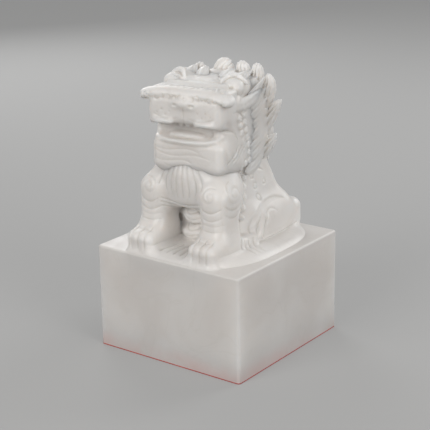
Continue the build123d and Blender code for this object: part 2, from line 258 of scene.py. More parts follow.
def skin(field):
    """The zero surface of a field, with one vertex in each grid cell that it passes."""
    inside = field < 0
    cells = np.array(field.shape) - 1
    count = sum(
        inside[i:i + cells[0], j:j + cells[1], k:k + cells[2]].astype(np.int8) for i, j, k in CORNERS)
    mixed = np.argwhere((count > 0) & (count < 8))
    values = {c: field[tuple((mixed + c).T)] for c in CORNERS}
    total = np.zeros((len(mixed), 3))
    hits = np.zeros(len(mixed))
    for start in CORNERS:
        for axis in range(3):
            if start[axis]:
                continue
            end = tuple(1 if n == axis else start[n] for n in range(3))
            a, b = values[start], values[end]
            crossed = (a < 0) != (b < 0)
            share = np.where(crossed, a / np.where(crossed, a - b, 1), 0)
            place = np.repeat(np.array([start], float), len(mixed), 0)
            place[:, axis] += share
            total += place * crossed[:, None]
            hits += crossed
    points = mixed + total / hits[:, None]
    number = np.full(cells, -1, np.int32)
    number[tuple(mixed.T)] = np.arange(len(mixed))
    quads = []
    for axis in range(3):
        u, v = [(1, 2), (2, 0), (0, 1)][axis]
        shift = np.zeros(3, int)
        shift[axis] = 1
        limit = np.array(field.shape)
        limit[axis] -= 1
        base = inside[tuple(slice(0, n) for n in limit)]
        other = inside[tuple(slice(s, s + n) for s, n in zip(shift, limit))]
        edges = np.argwhere(base != other)
        for n in (u, v):
            edges = edges[(edges[:, n] > 0) & (edges[:, n] < cells[n])]
        outward = base[tuple(edges.T)]
        loop = []
        for du, dv in ((1, 1), (0, 1), (0, 0), (1, 0)):
            cell = edges.copy()
            cell[:, u] -= du
            cell[:, v] -= dv
            loop.append(number[tuple(cell.T)])
        loop = np.stack(loop, 1)
        loop[~outward] = loop[~outward][:, ::-1]
        quads.append(loop)
    return points, np.concatenate(quads)


def smooth(points, quads, rounds, strength):
    """Evens out the steps of the grid without shrinking the form."""
    starts = quads.ravel()
    ends = np.roll(quads, -1, 1).ravel()
    both = np.concatenate([starts, ends])
    others = np.concatenate([ends, starts])
    degree = np.bincount(both, minlength=len(points))[:, None]
    for _ in range(rounds):
        for push in (strength, -strength * 0.9):
            sums = [np.bincount(both, points[others, n], len(points)) for n in range(3)]
            points = points + push * (np.stack(sums, 1) / degree - points)
    return points


def blur(field, rounds):
    """The field averaged over its neighbours."""
    for _ in range(rounds):
        for axis in range(3):
            field = (np.roll(field, 1, axis) + field * 2 + np.roll(field, -1, axis)) / 4
    return field


def sampled(values, places):
    """The grid's values between its points."""
    base = np.clip(places.astype(int), 0, np.array(values.shape) - 2)
    rest = places - base
    result = np.zeros(len(places))
    for corner in CORNERS:
        weight = np.prod([rest[:, n] if corner[n] else 1 - rest[:, n] for n in range(3)], 0)
        result += weight * values[tuple((base + corner).T)]
    return result


def carved(name, clay, material, nodes, turn=None):
    """The finished piece of stone, which stands for its CAD nodes."""
    points, quads = skin(clay.field)
    capped = np.clip(clay.field, -HOLLOW_REACH, HOLLOW_REACH)
    hollow = sampled(capped - blur(capped, 6), points)
    points = smooth(points, quads, SMOOTH_ROUNDS, 0.5)
    places = points * clay.cell + clay.low
    places = (turn(places) if turn else places) * MM
    mesh = bpy.data.meshes.new(name)
    mesh.vertices.add(len(places))
    mesh.vertices.foreach_set("co", places.ravel())
    mesh.loops.add(quads.size)
    mesh.loops.foreach_set("vertex_index", quads.ravel())
    mesh.polygons.add(len(quads))
    mesh.polygons.foreach_set("loop_start", np.arange(0, quads.size, 4))
    mesh.update(calc_edges=True)
    mesh.validate()
    hollows = mesh.attributes.new("hollow", "FLOAT", "POINT")
    hollows.data.foreach_set("value", (hollow / clay.cell).astype(np.float32))
    piece = bpy.data.objects.new(name, mesh)
    bpy.context.scene.collection.objects.link(piece)
    triangles = len(quads) * 2
    if triangles > MOST_TRIANGLES:
        thin = piece.modifiers.new("thin", "DECIMATE")
        thin.ratio = MOST_TRIANGLES / triangles
        evaluated = piece.evaluated_get(bpy.context.evaluated_depsgraph_get())
        piece_mesh = bpy.data.meshes.new_from_object(evaluated)
        piece.modifiers.clear()
        piece.data = piece_mesh
        piece.data.name = name
        piece.data.validate()
    piece.data.shade_smooth()
    piece.data.materials.clear()
    piece.data.materials.append(material)
    print(name, "triangles", triangles, "kept", sum(len(p.vertices) - 2 for p in piece.data.polygons))
    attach(piece, "root")
    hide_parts(*nodes)
    return piece


def sides(*names):
    return [f"{name}_{side}" for name in names for side in ("left", "right")]


def mm_box(node):
    low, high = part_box(node)
    return np.array(low) / MM, np.array(high) / MM


BLOCK_TOP = mm_box("seal_block")[1][2]
GROUND_TOP = mm_box("carved_ground")[1][2]


# Materials

VEIN_COLOUR = (0.66, 0.63, 0.58)
# painted shade: the grey that the hollows of the carving are darkened towards, where shade falls
HOLLOW_SHADE_COLOUR = (0.6, 0.575, 0.53)
SMEAR_COLOUR = (0.8, 0.5, 0.47)
BUMP_DISTANCE = 0.0002


def socket_group(name, inputs, outputs):
    group = bpy.data.node_groups.new(name, "ShaderNodeTree")
    for label, kind, value in inputs:
        socket = group.interface.new_socket(label, in_out="INPUT", socket_type=kind)
        socket.default_value = value
    for label, kind in outputs:
        group.interface.new_socket(label, in_out="OUTPUT", socket_type=kind)
    return group, group.nodes.new("NodeGroupInput"), group.nodes.new("NodeGroupOutput")


def math_node(tree, kind, first, second=None):
    node = tree.nodes.new("ShaderNodeMath")
    node.operation = kind
    for index, value in enumerate((first, second)):
        if value is None:
            continue
        if isinstance(value, (int, float)):
            node.inputs[index].default_value = value
        else:
            tree.links.new(value, node.inputs[index])
    return node.outputs[0]


def noise_node(tree, place, scale, detail=3.0, distortion=0.0):
    node = tree.nodes.new("ShaderNodeTexNoise")
    node.inputs["Scale"].default_value = scale
    node.inputs["Detail"].default_value = detail
    node.inputs["Distortion"].default_value = distortion
    tree.links.new(place, node.inputs["Vector"])
    return node.outputs["Fac"]


def spread(tree, value, low, high):
    node = tree.nodes.new("ShaderNodeMapRange")
    node.interpolation_type = "SMOOTHSTEP"
    node.inputs["From Min"].default_value = low
    node.inputs["From Max"].default_value = high
    tree.links.new(value, node.inputs["Value"])
    return node.outputs["Result"]


def cloud_group():
    """Milky clouds and thin veins inside the stone, as masks."""
    group, given, made = socket_group("stone_clouds", [("Place", "NodeSocketVector", (0, 0, 0))],
                                      [("Clouds", "NodeSocketFloat"), ("Veins", "NodeSocketFloat")])
    place = given.outputs["Place"]
    clouds = spread(group, noise_node(group, place, 38.0, 4.0, 0.6), 0.35, 0.7)
    veins = noise_node(group, place, 55.0, 5.0, 1.4)
    away = math_node(group, "ABSOLUTE", math_node(group, "SUBTRACT", veins, 0.5))
    thin = math_node(group, "SUBTRACT", 1.0, spread(group, away, 0.0, 0.03))
    group.links.new(clouds, made.inputs["Clouds"])
    group.links.new(thin, made.inputs["Veins"])
    return group


def polish_group():
    """The height of fine tool marks, hand-rubbed ripples and pits."""
    group, given, made = socket_group("hand_polish", [("Place", "NodeSocketVector", (0, 0, 0))],
                                      [("Height", "NodeSocketFloat"), ("Smears", "NodeSocketFloat")])
    place = given.outputs["Place"]
    ripples = noise_node(group, place, 260.0, 2.0)
    marks = noise_node(group, place, 1500.0, 3.0)
    large, small = math_node(group, "MULTIPLY", ripples, 0.7), math_node(group, "MULTIPLY", marks, 0.3)
    group.links.new(math_node(group, "ADD", large, small), made.inputs["Height"])
    smears = spread(group, noise_node(group, place, 120.0, 3.0, 0.8), 0.3, 0.75)
    group.links.new(smears, made.inputs["Smears"])
    return group


CLOUDS = cloud_group()
POLISH = polish_group()


def mixed(tree, factor, first, second):
    node = tree.nodes.new("ShaderNodeMix")
    node.data_type = "RGBA"
    tree.links.new(factor, node.inputs["Factor"])
    for value, name in ((first, "A"), (second, "B")):
        target = [s for s in node.inputs if s.name == name and s.type == "RGBA"][0]
        if isinstance(value, tuple):
            target.default_value = (*value, 1)
        else:
            tree.links.new(value, target)
    return [s for s in node.outputs if s.type == "RGBA"][0]


def new_material(name):
    material = bpy.data.materials.new(name)
    material.use_nodes = True
    tree = material.node_tree
    return material, tree, tree.nodes["Principled BSDF"]


def object_place(tree):
    return tree.nodes.new("ShaderNodeTexCoord").outputs["Object"]


def effect(tree, group, place):
    """A shared effect, placed in a material."""
    node = tree.nodes.new("ShaderNodeGroup")
    node.node_tree = group
    tree.links.new(place, node.inputs["Place"])
    return node.outputs


def bumped(tree, shader, height, strength):
    bump = tree.nodes.new("ShaderNodeBump")
    bump.inputs["Strength"].default_value = strength
    bump.inputs["Distance"].default_value = BUMP_DISTANCE
    tree.links.new(height, bump.inputs["Height"])
    tree.links.new(bump.outputs["Normal"], shader.inputs["Normal"])


def stone_material(name, grey, white, scatter, with_hollow_shade):
    material, tree, shader = new_material(name)
    place = object_place(tree)
    clouds = effect(tree, CLOUDS, place)
    polish = effect(tree, POLISH, place)
    colour = mixed(tree, clouds["Clouds"], grey, white)
    colour = mixed(tree, math_node(tree, "MULTIPLY", clouds["Veins"], 0.12), colour, VEIN_COLOUR)
    apart = tree.nodes.new("ShaderNodeSeparateXYZ")
    tree.links.new(place, apart.inputs[0])
    height = apart.outputs["Z"]
    if with_hollow_shade:
        # light doesn't pass from one mesh of the stone into the next, so the glow fades where they meet
        glow = spread(tree, height, BLOCK_TOP * MM, (BLOCK_TOP + 7) * MM)
        # painted shade: the stone's colour is greyed in the hollows and creases of the carving, where shade
        # falls
        attribute = tree.nodes.new("ShaderNodeAttribute")
        attribute.attribute_name = "hollow"
        painted_hollow_shade = math_node(tree, "MULTIPLY", spread(tree, attribute.outputs["Fac"], 0.02, 0.6), 0.3)
        colour = mixed(tree, painted_hollow_shade, colour, HOLLOW_SHADE_COLOUR)
    else:
        near_top = spread(tree, height, (BLOCK_TOP - 5) * MM, BLOCK_TOP * MM)
        from_top = math_node(tree, "SUBTRACT", 1.0, near_top)
        glow = math_node(tree, "MINIMUM", from_top, spread(tree, height, 1.5 * MM, 7 * MM))
        # a faint smear of red above the printing face
        low = math_node(tree, "SUBTRACT", 1.0, spread(tree, height, 0.0, 7.5 * MM))
        patches = spread(tree, noise_node(tree, place, 90.0, 4.0), 0.25, 0.75)
        smear = math_node(tree, "MULTIPLY", math_node(tree, "MULTIPLY", low, patches), 0.5)
        colour = mixed(tree, smear, colour, SMEAR_COLOUR)
    tree.links.new(colour, shader.inputs["Base Color"])
    rough = math_node(tree, "ADD", 0.3, math_node(tree, "MULTIPLY", polish["Smears"], 0.14))
    tree.links.new(rough, shader.inputs["Roughness"])
    bumped(tree, shader, polish["Height"], 0.25)
    glow_share = math_node(tree, "ADD", 0.15, math_node(tree, "MULTIPLY", glow, 0.85))
    tree.links.new(glow_share, shader.inputs["Subsurface Weight"])
    shader.inputs["Subsurface Radius"].default_value = (1.0, 0.95, 0.9)
    shader.inputs["Subsurface Scale"].default_value = scatter
    shader.inputs["IOR"].default_value = 1.49
    return material


def paste_material():
    material, tree, shader = new_material("seal_paste_red")
    place = object_place(tree)
    patches = spread(tree, noise_node(tree, place, 150.0, 4.0), 0.3, 0.7)
    colour = mixed(tree, patches, (0.5, 0.025, 0.02), (0.72, 0.07, 0.045))
    tree.links.new(colour, shader.inputs["Base Color"])
    rough = math_node(tree, "ADD", 0.35, math_node(tree, "MULTIPLY", patches, 0.25))
    tree.links.new(rough, shader.inputs["Roughness"])
    bumped(tree, shader, noise_node(tree, place, 900.0, 4.0), 0.5)
    shader.inputs["Subsurface Weight"].default_value = 0.1
    shader.inputs["Subsurface Scale"].default_value = 0.001
    return material


CARVED_STONE = stone_material(
    "carved_white_stone", (0.8, 0.77, 0.742), (0.87, 0.85, 0.828), scatter=4 * MM, with_hollow_shade=True)
BLOCK_STONE = stone_material(
    "block_white_stone", (0.75, 0.718, 0.69), (0.81, 0.785, 0.76), scatter=12 * MM, with_hollow_shade=False)
SEAL_PASTE = paste_material()


# The body, its limbs, the tail and the rock

def plinth():
    """The low rock: a rounded square that falls softly to the block all round."""
    half_x, half_y = 26.8, 29.5
    low, high = BLOCK_TOP - 1.2, GROUND_TOP

    def reach(x, y, z):
        outward = (abs(x / half_x) ** 3 + abs(y / half_y) ** 3) ** (1 / 3)
        edge = np.clip((1 - outward) / 0.26, 0, 1)
        top = low + (high - low) * edge ** 0.7 * (2 - edge ** 0.7)
        return np.maximum((z - top) * 0.75, low - z)

    return Form((-half_x, -half_y, low), (half_x, half_y, high), reach)


def hill(low_z, high_z, low_rect, high_rect, radius):
    """A block with rounded edges whose half width, front and back change from its foot to its top."""
    half_height = (high_z - low_z) / 2

    def reach(x, y, z):
        share = np.clip((z - low_z) / (high_z - low_z), -0.2, 1.2)
        half_x, front, back = (lo + (hi - lo) * share for lo, hi in zip(low_rect, high_rect))
        du = abs(x) - half_x + radius
        dv = abs(y - (front + back) / 2) - (back - front) / 2 + radius
        dw = abs(z - (low_z + high_z) / 2) - half_height + radius
        outer = np.sqrt(np.maximum(du, 0) ** 2 + np.maximum(dv, 0) ** 2 + np.maximum(dw, 0) ** 2)
        return 0.9 * (outer + np.minimum(np.maximum(np.maximum(du, dv), dw), 0) - radius)

    half_x = max(low_rect[0], high_rect[0])
    front, back = min(low_rect[1], high_rect[1]), max(low_rect[2], high_rect[2])
    return Form((-half_x, front, low_z), (half_x, back, high_z), reach)


def carve_body():
    clay = Clay((-29.2, -29.8, BLOCK_TOP - 2.0), (29.2, 29.8, 75.0), BODY_AND_MANE)
    clay.add(plinth())
    # trunk, chest and neck
    clay.add(hill(37, 70, (18.4, -10, 24.2), (9.6, -10, 15.0), 4.5), 1.0)
    clay.add(cushion((0, -11.5, 60.5), (12.4, 8.6, 9.5), 6), 4.0)
    clay.add(cushion((0, -5, 67.5), (12.5, 12.5, 5), 4.5), 3.0)
    clay.add(egg((0, -16.6, 61.5), (7.6, 5.0, 8.6), (8, 0, 0)), 2.0)
    # shoulders and forelegs, which flare into the paws
    clay.add(egg((11.6, -12.6, 57.6), (6.0, 9.0, 9.0), (-14, 0, 0)), 2.6, pair=True)
    clay.add(cushion((12.8, -16.2, 50), (5.3, 5.9, 12), 3.8), 2.4, pair=True)
    clay.add(cushion((13.0, -20.4, 40.9), (5.3, 7.9, 4.0), 2.4, (9, 0, 0)), 4.6, pair=True)
    # haunches, shins and hind paws
    clay.add(cushion((12.0, 9.0, 44.2), (6.2, 14.0, 7.2), 5.6, (3, 0, 0)), 4.0, pair=True)
    shin = tress([(17.4, 3.5, 46.0), (18.0, -1.5, 42.6), (17.6, -5.4, 39.2)], [1.3, 1.7, 1.3])
    clay.add(shin, 1.6, pair=True)
    clay.add(cushion((14.0, -7.4, 40.2), (4.6, 5.4, 2.6), 2.0), 1.6, pair=True)
    # the arch between the forelegs
    clay.cut(cushion((0, -19, 42.5), (6.7, 9.5, 9.4), 5.0), 1.6)
    clay.add(egg((-0.6, -9.2, 47.6), (7.0, 4.4, 3.8), (0, 6, 0)), 1.6)
    clay.add(egg((-0.4, -9.8, 42.0), (7.0, 4.6, 2.8), (0, -5, 0)), 1.2)
    clay.add(plinth(), 1.6)
    # the tail: a plume of flames up the rump and a curl at each side
    clay.add(cushion((12.4, 22.2, 42.6), (5.4, 5.4, 5.6), 3.4), 2.0, pair=True)
    clay.add(cushion((0, 21.8, 44), (9.5, 5.0, 7.5), 4), 2.5)
    for x, top, lean in ((0, 57.5, 0), (4.6, 53.6, 1.6), (9.0, 48.4, 2.4)):
        points = [(x * 0.55, 24.6, 40), (x * 0.95, 25.2, 46.5), (x + lean, 19.4, top)]
        clay.add(flame(points, 8.2, (0.1, 1, 0.35), 1.7, 3, 0.7), 0.5, pair=x > 0)
    # a row of knobs down the spine
    for y, z in ((15.8, 64.2), (16.8, 61.3), (17.9, 58.4)):
        clay.add(egg((0, y, z), (2.4, 2.3, 1.9)), 0.5)
    # curls behind the elbow
    curls = ((-4.4, 62.0, 1.5), (-5.0, 58.8, 1.5), (-6.0, 55.6, 1.5), (-7.2, 52.4, 1.4), (-8.4, 49.4, 1.2))
    for y, z, size in curls:
        clay.add(egg((13.2 + 0.16 * (64 - z), y, z), (1.7, size, size)), 0.8, pair=True)
    engrave_body(clay)
    nodes = ["trunk", "belly", "chest", "chest_bib", "neck"]
    nodes += ["tail_plume", "spine_knobs", "carved_ground"]
    nodes += sides("shoulder", "foreleg", "forepaw", "haunch", "hind_paw", "elbow_curls", "tail_curl")
    return carved("lion_body", clay, CARVED_STONE, nodes)


def engrave_body(clay):
    side, front, top = 0, 1, 2
    # the crease between the shoulder and the flank
    crease = bend([(-2.6, 67), (-6.8, 57.5), (-10.2, 48), (-12.6, 40.5)])
    clay.score(side, crease, 1.3, 1.4, (8, 24), pair=True)
    # the line where the haunch sits on the rock
    seat = bend([(-3.0, 39.6), (6, 39.2), (14, 39.4), (22, 40.0)])
    clay.score(side, seat, 0.8, 0.4, (15, 24), pair=True)
    # the haunch: its upper edge and an inner fold
    upper_edge = bend([(-5.4, 43.5), (-2.0, 48.2), (6.5, 51.2), (15.5, 50.6)])
    clay.score(side, upper_edge, 0.9, 0.3, (11, 24), pair=True)
    clay.score(side, arc((6.5, 44.6), 4.4, 200, 40), 0.5, 0.22, (11, 24), pair=True)
    clay.score(side, bend([(0.6, 40.4), (0.2, 43.2), (3.2, 46.6)]), 0.8, 0.5, (14, 24), pair=True)
    clay.score(side, bend([(-3.4, 41.0), (-2.6, 44.2), (0.4, 48.0)]), 0.5, 0.3, (14, 24), pair=True)
    # ring marks on the flank
    rings = ((2.6, 64.0, 0.9), (3.4, 60.6, 1.0), (4.0, 57.0, 1.1), (4.2, 53.2, 1.1), (9.4, 57.4, 0.9))
    for y, z, size in rings:
        clay.score(side, arc((y, z), size, 0, 360), 0.4, 0.32, (8, 24), pair=True)
    clay.score(side, bend([(0, 61.6), (5, 62.8), (10, 61.2)]), 0.5, 0.35, (8, 24), pair=True)
    # the shoulder's scrolls
    clay.score(side, scroll((-14.6, 59.6), 4.0, 100, 1.6), 0.6, 0.24, (15.5, 24), pair=True)
    clay.score(side, bend([(-20, 56.4), (-15.5, 54.4), (-10.5, 56.4)]), 0.5, 0.35, (8, 24), pair=True)
    clay.score(side, bend([(-20, 53.6), (-15.5, 51.8), (-11.5, 53.6)]), 0.5, 0.3, (8, 24), pair=True)
    clay.score(front, scroll((12.6, 59.4), 3.0, 60, 1.5), 0.6, 0.22, (-30, -18.4), pair=True)
    clay.score(front, bend([(9.0, 55.6), (12.6, 53.9), (16.8, 55.6)]), 0.5, 0.35, (-30, -14), pair=True)
    clay.score(front, bend([(8.6, 52.6), (12.6, 51.2), (17.0, 52.6)]), 0.5, 0.3, (-30, -14), pair=True)
    # fur on the bib
    for hand in (-1, 1):
        for x, lean, low in ((6.4, 2.0, 60.4), (4.6, 1.4, 58.8), (2.7, 0.8, 57.4), (0.9, 0.3, 56.8)):
            x, lean = hand * x, hand * lean
            strand = bend([(x * 0.8, 68.5), (x + lean, 63), (x + lean * 1.1, low)])
            clay.score(front, strand, 0.5, 0.26, (-30, -14))
    # bands over the arch
    for z in (55.0, 53.4, 52.0):
        clay.score(front, bend([(-8.4, z + 0.9), (0, z - 0.9), (8.4, z + 0.9)]), 0.45, 0.35, (-30, -10))
    # hair under the belly
    folds = ((49.2, -0.5, 4.0), (47.4, 0.4, 5.0), (45.2, -0.4, 5.6), (43.6, 0.4, 5.4), (41.4, -0.6, 5.2))
    for z, x, half in folds:
        left, right = (x - half * 0.3, z - 0.5), (x + half * 0.3, z + 0.4)
        clay.score(front, bend([(x - half, z + 0.5), left, right, (x + half, z - 0.3)]), 0.5, 0.45, (-16, -8))
    # toes, front and top
    for x in (10.2, 13.0, 15.8):
        clay.score(front, bend([(x, 45.0), (x + 0.1, 42), (x, 38.4)]), 0.55, 0.32, (-30, -19), pair=True)
    for z in (48.2, 50.2):
        clay.score(front, bend([(8.4, z), (12.8, z - 0.7), (17.4, z)]), 0.4, 0.22, (-30, -16), pair=True)
    for y in (-10.4, -8.2, -6.0):
        clay.score(side, [(y, 38.4), (y + 0.3, 40.0), (y + 0.8, 42.0)], 0.5, 0.4, (15, 24), pair=True)
    # streaks on the rock between the paws
    for x, turn in ((-4.6, -1.2), (-2.4, -0.5), (0, 0), (2.4, 0.5), (4.6, 1.2)):
        clay.score(top, [(x + turn, -25.5), (x + turn * 0.4, -21), (x, -16.5)], 0.55, 0.6, (36, 40.5))


# The head

HEAD_TURN = math.radians(7.0)
HEAD_PIVOT = (0.0, -3.5)


def turn_head(points):
    """The lion looks a little to its left."""
    x, y = points[:, 0] - HEAD_PIVOT[0], points[:, 1] - HEAD_PIVOT[1]
    turned_x = HEAD_PIVOT[0] + x * math.cos(HEAD_TURN) - y * math.sin(HEAD_TURN)
    turned_y = HEAD_PIVOT[1] + x * math.sin(HEAD_TURN) + y * math.cos(HEAD_TURN)
    return np.stack([turned_x, turned_y, points[:, 2]], 1)


def carve_head():
    clay = Clay((-18.6, -25.6, 58.0), (18.6, 14.0, 99.5), FINE)
    clay.add(cushion((0, -3.0, 78.2), (14.6, 13.6, 13.6), 4.0), 0.8)
    # cheeks, which draw in towards the neck
    clay.add(egg((10.2, -9.5, 73), (4.8, 7.0, 9.0)), 2.4, pair=True)
    clay.add(egg((11.6, 3.5, 79.4), (4.4, 7.6, 14.5)), 3.0, pair=True)
    # upper jaw and lower jaw, with the open mouth between them
    clay.add(cushion((0, -14.0, 86.8), (14.1, 7.4, 5.0), 2.6), 1.8)
    clay.add(cushion((0, -10.0, 78.6), (12.9, 7.4, 8.5), 3.0), 2.0)
    clay.add(cushion((0, -12.4, 70.9), (13.7, 7.8, 5.6), 2.8, (-3, 0, 0)), 1.6)
    clay.add(cushion((0, -11.4, 66.6), (11.4, 7.4, 4.2), 3.4), 2.4)
    clay.cut(cushion((-1.8, -20.0, 79.6), (10.8, 4.6, 2.2), 1.8), 0.9)
    clay.cut(cushion((-9, -20.4, 79.6), (8.0, 4.2, 2.1), 1.6), 0.9)
    clay.add(egg((-1.4, -16.4, 77.6), (6.6, 2.8, 1.2), (-5, 0, 0)), 0.7)
    for x in (-10.0, -7.4, -4.8, -2.2, 0.4, 3.0, 5.6):
        clay.add(egg((x, -18.6, 81.7), (1.0, 0.8, 0.8)), 0.5)
    gum = bend([(-12.6, -17.0, 76.4), (-9.0, -19.4, 76.2), (-1.0, -20.0, 76.0), (7.6, -19.4, 76.4),
                (11.6, -17.0, 78.2)])
    clay.add(tress(gum, np.full(9, 0.8)), 0.8)
    # lips
    lip = bend([(12.6, -17.0, 81.8), (11.6, -20.8, 82.6), (5.0, -21.4, 82.9)])
    clay.add(tress(lip, np.full(9, 0.8)), 1.4, pair=True)
    # nose
    clay.add(egg((0, -20.2, 89.4), (4.8, 2.3, 2.2)), 1.0)
    clay.add(egg((3.4, -20.2, 88.9), (2.0, 1.7, 1.6)), 0.8, pair=True)
    clay.cut(egg((3.2, -22.0, 88.8), (1.0, 0.7, 0.5), (0, 0, 15)), 0.5, pair=True)
    # the brow's front roll, then two terraces behind it
    roll = bend([(-15.9, -18.4, 90.8), (-8.5, -18.2, 91.9), (0, -17.8, 92.0), (8.5, -18.2, 91.9),
                 (15.4, -18.4, 90.7)], 13)
    thick = 2.1 * np.array([0.86, 0.92, 0.97, 1, 1, 1, 1, 1, 1, 1, 0.97, 0.92, 0.86])
    clay.add(tress(roll, thick, (0, 1, 0), 0.62), 0.7)
    clay.add(egg((15.0, -17.4, 91.2), (1.9, 2.1, 1.7)), 0.4, pair=True)
    clay.add(cushion((0, -13.8, 91.6), (14.2, 4.2, 2.0), 1.5), 0.6)
    clay.add(cushion((0, -8.6, 92.5), (12.4, 3.8, 1.9), 1.3), 0.5)
    clay.add(cushion((0, -1.0, 92.0), (12.6, 8.0, 3.0), 2.4), 0.8)
    # eyes under arched brows
    clay.add(egg((10.2, -3.8, 92.6), (4.4, 4.4, 3.8), (0, 8, 0)), 1.0, pair=True)
    fold = bend([(6.4, -9.2, 94.0), (10.2, -5.2, 97.0), (15.2, -5.0, 94.0)])
    clay.add(tress(fold, [0.4, 0.6, 0.75, 0.8, 0.85, 0.8, 0.75, 0.6, 0.4]), 0.5, pair=True)
    clay.add(egg((11.5, -7.8, 93.2), (3.5, 3.4, 3.0)), 0.15, pair=True)
    clay.cut(egg((12.4, -11.2, 93.8), (0.8, 0.8, 0.8)), 0.3, pair=True)
    # ears, which sweep back and up along the side
    ear = [(14.4, -10.6, 87.6), (15.9, -5.0, 88.6), (16.4, 2.6, 91.0)]
    clay.add(flame(ear, 4.4, (1, 0, 0.2), 2.6, 2, 0.4), 0.9, pair=True)
    # columns of curls behind the cheek
    for column, start in enumerate((-8.6, -5.4)):
        for row in range(7):
            z = 67.4 + row * 2.7 + column * 0.5
            y = start + 0.22 * (76 - z)
            clay.add(egg((14.35, y, z), (1.35, 1.5, 1.25)), 0.35, pair=True)
            clay.cut(egg((15.75, y + 0.2, z + 0.1), (0.55, 0.55, 0.5)), 0.25, pair=True)
    # beard
    for y, z, x in ((-16.0, 71.6, 13.4), (-13.0, 70.6, 14.2), (-10.4, 69.4, 14.4)):
        tuft = [(x, y, z + 2.8), (x + 0.3, y + 1.4, z - 0.8), (x - 0.5, y + 3.2, z - 4.6)]
        clay.add(flame(tuft, 3.2, (1, 0.2, 0), 2.2, 2, 0.3), 0.8, pair=True)
    engrave_head(clay)
    nodes = ["skull", "muzzle", "lower_jaw", "teeth_and_tongue", "brow_roll", "nose", "crown"]
    nodes += sides("eye", "eyebrow", "ear", "cheek_curls", "beard")
    return carved("lion_head", clay, CARVED_STONE, nodes, turn_head)


def engrave_head(clay):
    side, front, top = 0, 1, 2
    # partings between the terraces of the brow
    clay.score(top, bend([(-13.0, -13.6), (-1, -13.2), (8.6, -15.0)]), 0.6, 1.9, (88, 97))
    clay.score(top, bend([(-11.0, -8.8), (0, -8.4), (9.0, -9.6)]), 0.65, 2.2, (90, 98))
    clay.score(top, bend([(-9.4, -16.0), (-4, -15.8), (1.5, -16.4)]), 0.45, 0.7, (88, 97))
    # small curls along the brow's front
    for number in range(14):
        x = -14.6 + number * 2.2
        lift = 0.35 * math.sin(2.3 * number)
        turn = 70 * number
        curl = arc((x, 91.0 + lift), 0.7 + 0.15 * math.sin(1.7 * number), turn, turn + 230, 10)
        clay.score(front, curl, 0.4, 0.24, (-27, -15))
        curl = arc((x + 0.9, -17.8 + lift), 0.7, turn + 90, turn + 300, 10)
        clay.score(top, curl, 0.4, 0.24, (90, 97))
    for x in np.linspace(-12.6, 12.6, 12):
        clay.score(top, [(x, -15.6), (x * 0.97, -14.2)], 0.35, 0.35, (90, 96))
    # wrinkles at the inner corner of the eye
    for turn in (140, 165, 190, 215):
        start = (7.4 + 0.8 * math.cos(math.radians(turn)), -8.2 + 0.8 * math.sin(math.radians(turn)))
        end = (7.4 + 4.2 * math.cos(math.radians(turn)), -8.2 + 3.6 * math.sin(math.radians(turn)))
        clay.score(top, [start, end], 0.35, 0.5, (90, 99), pair=True)
    # hairs in the eyebrow
    for share in np.linspace(0.1, 0.9, 6):
        y = -10.6 + 6.6 * share
        clay.score(side, [(y - 0.3, 99), (y + 0.4, 96.2)], 0.3, 0.25, (6, 17), pair=True)
    # the upper lip, its dots and the jaw's hair
    clay.score(front, bend([(2.0, 84.4), (6.5, 83.8), (11.5, 85.2)]), 0.45, 0.16, (-27, -16), pair=True)
    clay.score(front, bend([(0, 88), (0, 85), (0, 82)]), 0.45, 0.22, (-27, -16))
    for x, z in ((5.4, 86.4), (8.4, 86.8), (7.0, 85.2), (10.2, 85.6)):
        clay.score(front, arc((x, z), 0.2, 0, 360, 6), 0.35, 0.18, (-27, -16), pair=True)
    jaw_folds = ((73.4, -13.5, 5.0), (71.6, -12.0, 9.0), (69.6, -13.0, 2.0), (67.6, -9.0, 7.0))
    for z, low_x, high_x in jaw_folds:
        middle = (low_x + high_x) / 2
        line = bend([(low_x, z + 0.9), (middle - 3, z - 0.5), (middle + 3, z + 0.3), (high_x, z - 0.6)])
        clay.score(front, line, 0.5, 0.16, (-27, -13))
    for shift in (0, 2.0, 4.0):
        line = bend([(-11.6 + shift, 75.0 - shift * 0.3), (-13.6 + shift, 72.2), (-16.6 + shift, 69.4)])
        clay.score(side, line, 0.45, 0.4, (9, 18), pair=True)
    clay.score(side, bend([(-17.0, 80.4), (-13.6, 79.6), (-11.8, 76.8)]), 0.5, 0.35, (9, 18), pair=True)
    clay.score(side, bend([(-14.0, 86.0), (-10.6, 85.6), (-8.0, 83.4)]), 0.45, 0.25, (9, 18), pair=True)


# The mane

